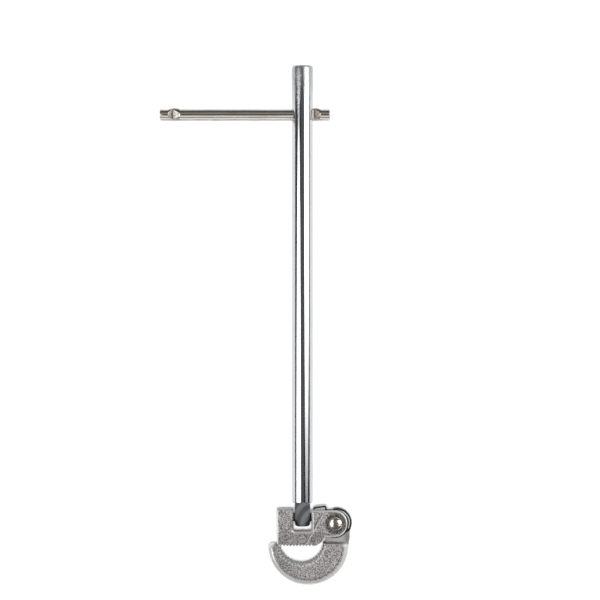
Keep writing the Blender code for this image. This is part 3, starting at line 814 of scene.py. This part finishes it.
def hook_skin(points, normals, face, wall):
    """Grained faces below a smooth rim, notched tooth roots and a smooth tongue.

    Painted shade darkens the throat wall, a line inside the rim, the tongue below the ear and at its
    far end, and the left part of the face. A painted glint lightens the corner at the shoulder's right end.
    """
    x, y = points[:, 0], points[:, 1]
    across, up = (x - HOOK_CENTRE[0]) / HOOK_RADIUS, (y - HOOK_CENTRE[1]) / HOOK_DROP
    inside = (1.0 - np.hypot(across, up)) * HOOK_RADIUS
    away = np.hypot(x - THROAT_CENTRE[0], y - THROAT_CENTRE[1])
    # Painted shade on the throat's wall, except towards the tip.
    throat = wall * (1.0 - smoothstep(THROAT_ROOTS + 0.2 * MM, THROAT_ROOTS + 0.8 * MM, away))
    tip = (x < THROAT_CENTRE[0]) * smoothstep(-2.2 * MM, -1.2 * MM, y - HOOK_CENTRE[1])
    throat = throat * (1.0 - tip) * smoothstep(-0.9, -0.3, normals[:, 1])
    tongue = smoothstep(0.0, 0.8 * MM, y - HOOK_SHOULDER)
    turn = np.arctan2(y - THROAT_CENTRE[1], x - THROAT_CENTRE[0])
    tooth = math.radians((THROAT_LAST - THROAT_FIRST) / THROAT_TEETH)
    at_root = smoothstep(-0.2, 0.6, np.cos(math.tau * (turn - math.radians(THROAT_LAST)) / tooth))
    row = np.exp(-(((away - THROAT_ROOTS - 0.9 * MM) / (0.5 * MM)) ** 4)) * (y < HOOK_SHOULDER)
    notch = face * at_root * row * (1.0 - tip)
    # A painted glint: the corner at the shoulder's right end loses its grain and takes the lighter rim
    # colour.
    painted_glint = np.exp(-((x - 24.2 * MM) / (1.5 * MM)) ** 2 - ((y - HOOK_SHOULDER + 1.6 * MM) / (0.7 * MM)) ** 2)
    bright = np.maximum(notch, painted_glint)
    grain = np.maximum(np.maximum(face, wall * 0.12), throat) * (1.0 - 0.85 * tongue) * (1.0 - bright)
    # Painted shadow on the tongue just below the ear's outline.
    ear = np.hypot((x - RIVET[0]) / EAR_REACH, (y - RIVET[1]) / EAR_HALF_HEIGHT) - 1.0
    under_ear = face * tongue * (1.0 - smoothstep(0.15, 0.25, ear))
    # Painted shade on the tongue's far end, towards the lower right.
    far_end = smoothstep(22 * MM, 26 * MM, x) * (1.0 - smoothstep(-10.5 * MM, -6 * MM, y))
    below = smoothstep(0.0, 2.0 * MM, HOOK_SHOULDER - y)
    # Painted shade along a line just inside the rim.
    edge = 0.8 * np.exp(-(((inside - HOOK_ROUND * 1.06) / (0.3 * MM)) ** 2)) * below
    # Painted shade on the left part of the face.
    side_shade = SIDE_SHADE * face * (1.0 - smoothstep(-12 * MM, 1 * MM, x))
    on_tongue = np.maximum(under_ear, TONGUE_SHADE * far_end * face * tongue)
    shade = np.maximum(np.maximum(throat, edge), np.maximum(on_tongue, side_shade))
    sink = FACE_SINK * smoothstep(HOOK_ROUND * 0.95, HOOK_ROUND * 1.15, inside) * below
    return grain, shade, sink + NOTCH_DEPTH * notch


def make_hook_jaw():
    outline, weights = hook_outline()
    bm = rounded_plate(from_rivet(outline), weights, HOOK_HALF_DEPTH, HOOK_ROUND, steps=12)
    hook = add_object("fine_hook_jaw", bm, None, RIVET_PLACE)
    neck = [
        (TONGUE_LEFT, TONGUE_CENTRE[1] - TONGUE_RADIUS / 2),
        (TONGUE_LEFT, HOOK_SHOULDER - HOOK_ROUND / 2),
        (TONGUE_LEFT + HOOK_ROUND, HOOK_SHOULDER - 2 * HOOK_ROUND),
        (TONGUE_CENTRE[0], HOOK_SHOULDER - 3 * HOOK_ROUND),
    ]
    neck.append(around(HOOK_CENTRE, (HOOK_RADIUS, HOOK_DROP), TONGUE_FOOT))
    neck += [(TONGUE_RIGHT - EDGE_ROUND / 2, HOOK_SHOULDER), (TONGUE_RIGHT, HOOK_SHOULDER + HOOK_ROUND)]
    neck.append((TONGUE_RIGHT, TONGUE_CENTRE[1] - TONGUE_RADIUS / 2))
    neck += arc((TONGUE_CENTRE[0] - GAP, TONGUE_CENTRE[1]), TONGUE_END_RADIUS, -18.0, 200.0, steps=72)
    tongue = from_rivet(neck)
    bm = loft([raised(tongue, TONGUE_LOW), raised(tongue, TONGUE_HIGH)])
    combine(hook, add_object("tongue", bm, None, RIVET_PLACE), "UNION")
    bore = turned([(RIVET_RADIUS + GAP, TONGUE_LOW - GAP), (RIVET_RADIUS + GAP, TONGUE_HIGH + GAP)], 64)
    combine(hook, add_object("tongue_hole", bore, None, RIVET_PLACE), "DIFFERENCE")
    cast_surface(hook, hook_skin)
    finish = plated_casting("hook_casting", (0.74, 0.73, 0.715), (0.60, 0.59, 0.58), (0.12, 0.115, 0.11))
    hook.data.materials.append(finish)
    return hook


def smooth_route(points, steps):
    """A smooth curve through the points, with steps pieces between each two."""
    route = []
    for i in range(len(points) - 1):
        before, start, end, after = (points[max(0, min(len(points) - 1, i + k))] for k in (-1, 0, 1, 2))
        for step in range(steps):
            t = step / steps
            route.append(
                0.5
                * (
                    2 * start
                    + (end - before) * t
                    + (2 * before - 5 * start + 4 * end - after) * t**2
                    + (3 * start - before - 3 * end + after) * t**3
                )
            )
    return route + [points[-1]]


def spring_path():
    """The wire from the end on the fixed jaw's top, round the coil, to the tip over the tongue."""
    seat = [(-12.2, 7.9), (-12.1, 8.8), (-8.8, 9.2), (-6.5, 9.45), (-5.8, 9.2), (-5.6, 8.4), (-5.2, 2.5)]
    path = [Vector((x * MM, y * MM, COIL_FRONT)) for x, y in seat]
    steps = 40
    count = round(COIL_TURNS * steps)
    sweep = ramp(180.0, 180.0 + 360.0 * COIL_TURNS, count)
    for degrees, depth in zip(sweep, ramp(COIL_FRONT, COIL_BACK, count)):
        loose = float(smoothstep(sweep[-1] - 480.0, sweep[-1] - 340.0, degrees))
        centre = (COIL_SHIFT[0] * loose, COIL_SHIFT[1] * loose)
        path.append(Vector((*around(centre, COIL_RADIUS + COIL_GROWTH * loose, degrees), depth)))
    middle = Vector(TONGUE_CENTRE) - Vector(RIVET)
    for part in ramp(0.0, 1.0, steps)[1:]:
        out = min(1.0, part / LEG_OUT)
        down = min(1.0, max(0.0, (part - LEG_OUT) / LEG_DOWN))
        degrees = LEG_START + (LEG_END - LEG_START) * part
        radius = COIL_RADIUS + COIL_GROWTH + (LEG_RADIUS - COIL_RADIUS - COIL_GROWTH) * out
        depth = COIL_BACK + (LEG_DEPTH - COIL_BACK) * down
        path.append(Vector((*around(Vector(COIL_SHIFT).lerp(middle, out), radius, degrees), depth)))
    path.append(path[-1] + Vector((-LEG_TIP_LEAN, 0.0, -LEG_TIP / 2)))
    path.append(path[-1] + Vector((0.0, 0.0, -LEG_TIP / 2)))
    return smooth_route(path, 3)


def tube(path, radius, sides):
    """A closed tube along a path, with its section carried along it without twisting."""
    rings = []
    side = Vector((0.0, 0.0, 1.0))
    for i, point in enumerate(path):
        ahead = (path[min(i + 1, len(path) - 1)] - path[max(i - 1, 0)]).normalized()
        side = (side - ahead * side.dot(ahead)).normalized()
        across = ahead.cross(side)
        turns = [math.tau * k / sides for k in range(sides)]
        rings.append([point + (side * math.cos(t) + across * math.sin(t)) * radius for t in turns])
    return loft(rings)


def make_jaw_spring():
    return add_object("fine_jaw_spring", tube(spring_path(), WIRE_RADIUS, 16), black_wire(), RIVET_PLACE)


# The studio.


def make_camera():
    lens = bpy.data.cameras.new("camera")
    lens.sensor_width = SENSOR_WIDTH
    lens.lens = SENSOR_WIDTH * VIEW_HEIGHT / VIEW_WIDTH
    lens.clip_start = 0.01
    lens.clip_end = 50.0
    camera = bpy.data.objects.new("camera", lens)
    camera.location = (*VIEW_CENTRE, MID_Z + VIEW_HEIGHT)
    bpy.context.scene.collection.objects.link(camera)
    bpy.context.scene.camera = camera


def glow_material(name, colour, strength):
    """Plain emission times the mesh's glow attribute."""
    made = bpy.data.materials.new(name)
    made.use_nodes = True
    tree = made.node_tree
    tree.nodes.clear()
    glow = tree.nodes.new("ShaderNodeAttribute")
    glow.attribute_name = "glow"
    level = tree.nodes.new("ShaderNodeMath")
    level.operation = "MULTIPLY"
    level.inputs[1].default_value = strength
    light = tree.nodes.new("ShaderNodeEmission")
    light.inputs["Color"].default_value = (*colour, 1.0)
    output = tree.nodes.new("ShaderNodeOutputMaterial")
    tree.links.new(glow.outputs["Fac"], level.inputs[0])
    tree.links.new(level.outputs[0], light.inputs["Strength"])
    tree.links.new(light.outputs[0], output.inputs["Surface"])
    return made


def softbox(name, across, along, centre, strength, low_fade=0.0):
    """A lit oval card bent round a Y axis through centre, which shows only in reflections.

    across is its middle and half width in degrees from straight up. along is its middle and half length in
    metres on the axis. low_fade dims that part of its length at the lower end.
    """
    edge = 0.25
    steps = 48
    bm = bmesh.new()
    glow = bm.verts.layers.float.new("glow")
    grid = []
    for u in ramp(-1.0, 1.0, steps + 1):
        row = []
        for v in ramp(-1.0, 1.0, steps + 1):
            turn = math.radians(across[0] + across[1] * u)
            reach = along[0] + along[1] * v
            place = (CARD_DISTANCE * math.sin(turn), reach, CARD_DISTANCE * math.cos(turn))
            vert = bm.verts.new(Vector(place) + centre)
            level = smoothstep(0.0, edge, 1.0 - u * u - v * v)
            vert[glow] = float(level * smoothstep(-1.01, 2.0 * low_fade - 1.0, v))
            row.append(vert)
        grid.append(row)
    for a, b in zip(grid, grid[1:]):
        for i in range(steps):
            bm.faces.new((a[i], a[i + 1], b[i + 1], b[i]))
    card = add_object(name, bm, glow_material(name, (1.0, 1.0, 1.0), strength))
    card.visible_camera = False
    card.visible_diffuse = False
    card.visible_shadow = False


def reflector(name, turn, axis, along, size, centre, radiance, colour, pieces):
    """An area light that lights and shows in those pieces alone, and hides nothing behind it.

    turn is its direction in degrees from straight up about the axis, along its shift on that axis, and size
    its width round the axis and its length on it, in metres.
    """
    sideways, up = math.sin(math.radians(turn)), math.cos(math.radians(turn))
    ahead = Vector((sideways, 0.0, up)) if axis == "Y" else Vector((0.0, sideways, up))
    length = Vector((0.0, 1.0, 0.0)) if axis == "Y" else Vector((1.0, 0.0, 0.0))
    lamp = bpy.data.lights.new(name, "AREA")
    lamp.shape = "RECTANGLE"
    lamp.size, lamp.size_y = size
    lamp.color = colour
    lamp.energy = radiance * math.pi * size[0] * size[1]
    card = bpy.data.objects.new(name, lamp)
    rotation = Matrix((length.cross(ahead), length, ahead)).transposed().to_4x4()
    card.matrix_world = Matrix.Translation(centre + ahead * CARD_DISTANCE + length * along) @ rotation
    card.visible_camera = False
    bpy.context.scene.collection.objects.link(card)
    lit = bpy.data.collections.new(name + "_lights")
    for piece in pieces:
        lit.objects.link(piece)
    card.light_linking.receiver_collection = lit


def make_softboxes():
    axis = Vector((PIN_PLACE.x, 0.0, MID_Z))
    softbox("left_softbox", (-43.0, 26.0), (-0.08, 0.43), axis, 3.0)
    softbox("right_softbox", (49.0, 30.0), (0.34, 0.50), axis, 3.0, low_fade=0.35)


def make_reflectors(shaft, t_bar, jaws, rivet):
    warm, tan = (1.0, 0.98, 0.95), (1.0, 0.93, 0.84)
    reflector("front_reflector", -53.0, "X", 0.0, (0.87, 1.0), BAR_PLACE, 0.8, warm, [t_bar])
    reflector("back_reflector", 18.0, "X", 0.0, (0.42, 1.0), BAR_PLACE, 0.35, tan, [t_bar])
    reflector("head_reflector", 0.0, "Y", -0.1, (2.2, 1.8), PIN_PLACE, 0.50, warm, jaws)
    reflector("low_reflector", -58.0, "X", 0.2, (1.3, 2.6), PIN_PLACE, 0.46, warm, jaws)
    reflector("side_reflector", 62.0, "Y", -0.6, (1.3, 1.2), PIN_PLACE, 0.46, warm, jaws)
    reflector("top_reflector", 62.0, "X", 0.0, (1.2, 2.4), PIN_PLACE, 0.5, warm, [shaft] + jaws)
    reflector("edge_reflector", -76.0, "X", 0.2, (0.5, 2.6), PIN_PLACE, 1.6, warm, [shaft, jaws[0]])
    reflector("left_rivet_reflector", -44.0, "Y", 0.1, (0.9, 1.7), PIN_PLACE, 1.6, warm, [rivet])
    reflector("right_rivet_reflector", 44.0, "Y", 0.25, (0.8, 1.3), PIN_PLACE, 1.6, warm, [rivet])


def make_floor():
    floor = Nodes("pale_floor", (0.90, 0.90, 0.895), 0.9, metallic=0.0)
    floor.shader.inputs["Specular IOR Level"].default_value = 0.1
    bm = bmesh.new()
    bmesh.ops.create_circle(bm, cap_ends=True, segments=96, radius=FLOOR_RADIUS)
    add_object("floor", bm, floor.finish())


def make_backdrop():
    """A pale dome that only the camera sees, behind the floor's edge."""
    bm = bmesh.new()
    bmesh.ops.create_uvsphere(bm, u_segments=48, v_segments=24, radius=FLOOR_RADIUS)
    layer = bm.verts.layers.float.new("glow")
    for vert in bm.verts:
        vert[layer] = 1.0
    dome = add_object("backdrop", bm, glow_material("backdrop", (0.96, 0.96, 0.955), 1.0))
    dome.visible_diffuse = False
    dome.visible_glossy = False
    dome.visible_shadow = False
    dome.visible_transmission = False


def make_lights():
    scene = bpy.context.scene
    scene.world = bpy.data.worlds.new("studio")
    scene.world.use_nodes = True
    room = scene.world.node_tree.nodes["Background"]
    room.inputs["Color"].default_value = (0.105, 0.105, 0.11, 1.0)
    sun = bpy.data.lights.new("overhead", "SUN")
    sun.energy = 3.4
    sun.angle = math.radians(9.0)
    overhead = bpy.data.objects.new("overhead", sun)
    overhead.visible_glossy = False
    scene.collection.objects.link(overhead)
    scene.view_settings.view_transform = "Standard"


def main():
    make_camera()
    shaft, t_bar, fixed_jaw, hook_jaw = make_shaft(), make_t_bar(), make_fixed_jaw(), make_hook_jaw()
    rivet = make_jaw_rivet()
    for piece, body, node, slot in (
        (shaft, "shaft", "shaft", "chrome_rod"),
        (t_bar, "handle", "t_bar", "nickel_bar"),
        (make_head_pin(), "head", "head_pin", "spring_pin"),
        (fixed_jaw, "head", "fixed_jaw", "plated_casting"),
        (rivet, "head", "jaw_rivet", "polished_rivet"),
        (hook_jaw, "hook", "hook_jaw", "plated_casting"),
    ):
        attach(piece, body)
        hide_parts(node)
    spring = make_jaw_spring()
    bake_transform(spring)
    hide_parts("jaw_spring")
    make_floor()
    make_backdrop()
    make_softboxes()
    make_reflectors(shaft, t_bar, [fixed_jaw, hook_jaw], rivet)
    make_lights()


main()
